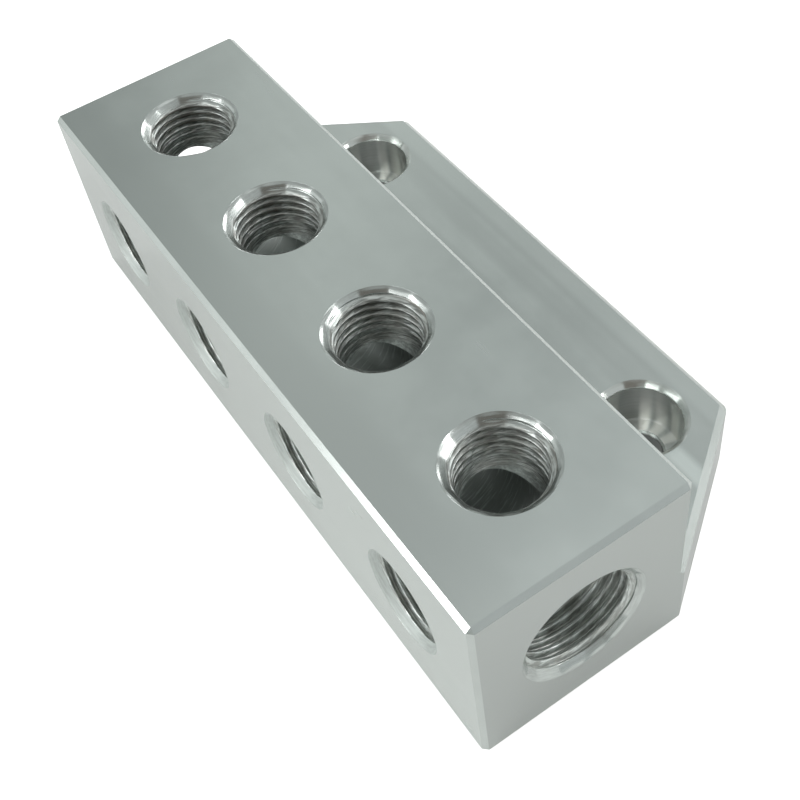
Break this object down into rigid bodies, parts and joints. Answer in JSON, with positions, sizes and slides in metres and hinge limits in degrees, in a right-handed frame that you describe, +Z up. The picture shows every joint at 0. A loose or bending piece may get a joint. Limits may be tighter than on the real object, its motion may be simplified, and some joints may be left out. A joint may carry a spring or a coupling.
{
  "type": "fluid manifold block",
  "caption": "Square-bar aluminium manifold with a through gallery, threaded ports on top, side and both ends, and a lower flange with counterbored screw holes.",
  "frame": {"origin": "centre of the enclosing rectangle, on the underside", "axes": "+X along the bar, +Y from the bar towards the screw flange, +Z up out of the top ports"},
  "size_m": [0.113, 0.054, 0.032],
  "materials": {
    "machined_aluminium": "bare, fine-milled faces with bright broken edges"
  },
  "bodies": {
    "root": {"manifold_block": "machined_aluminium"}
  },
  "joints": []
}
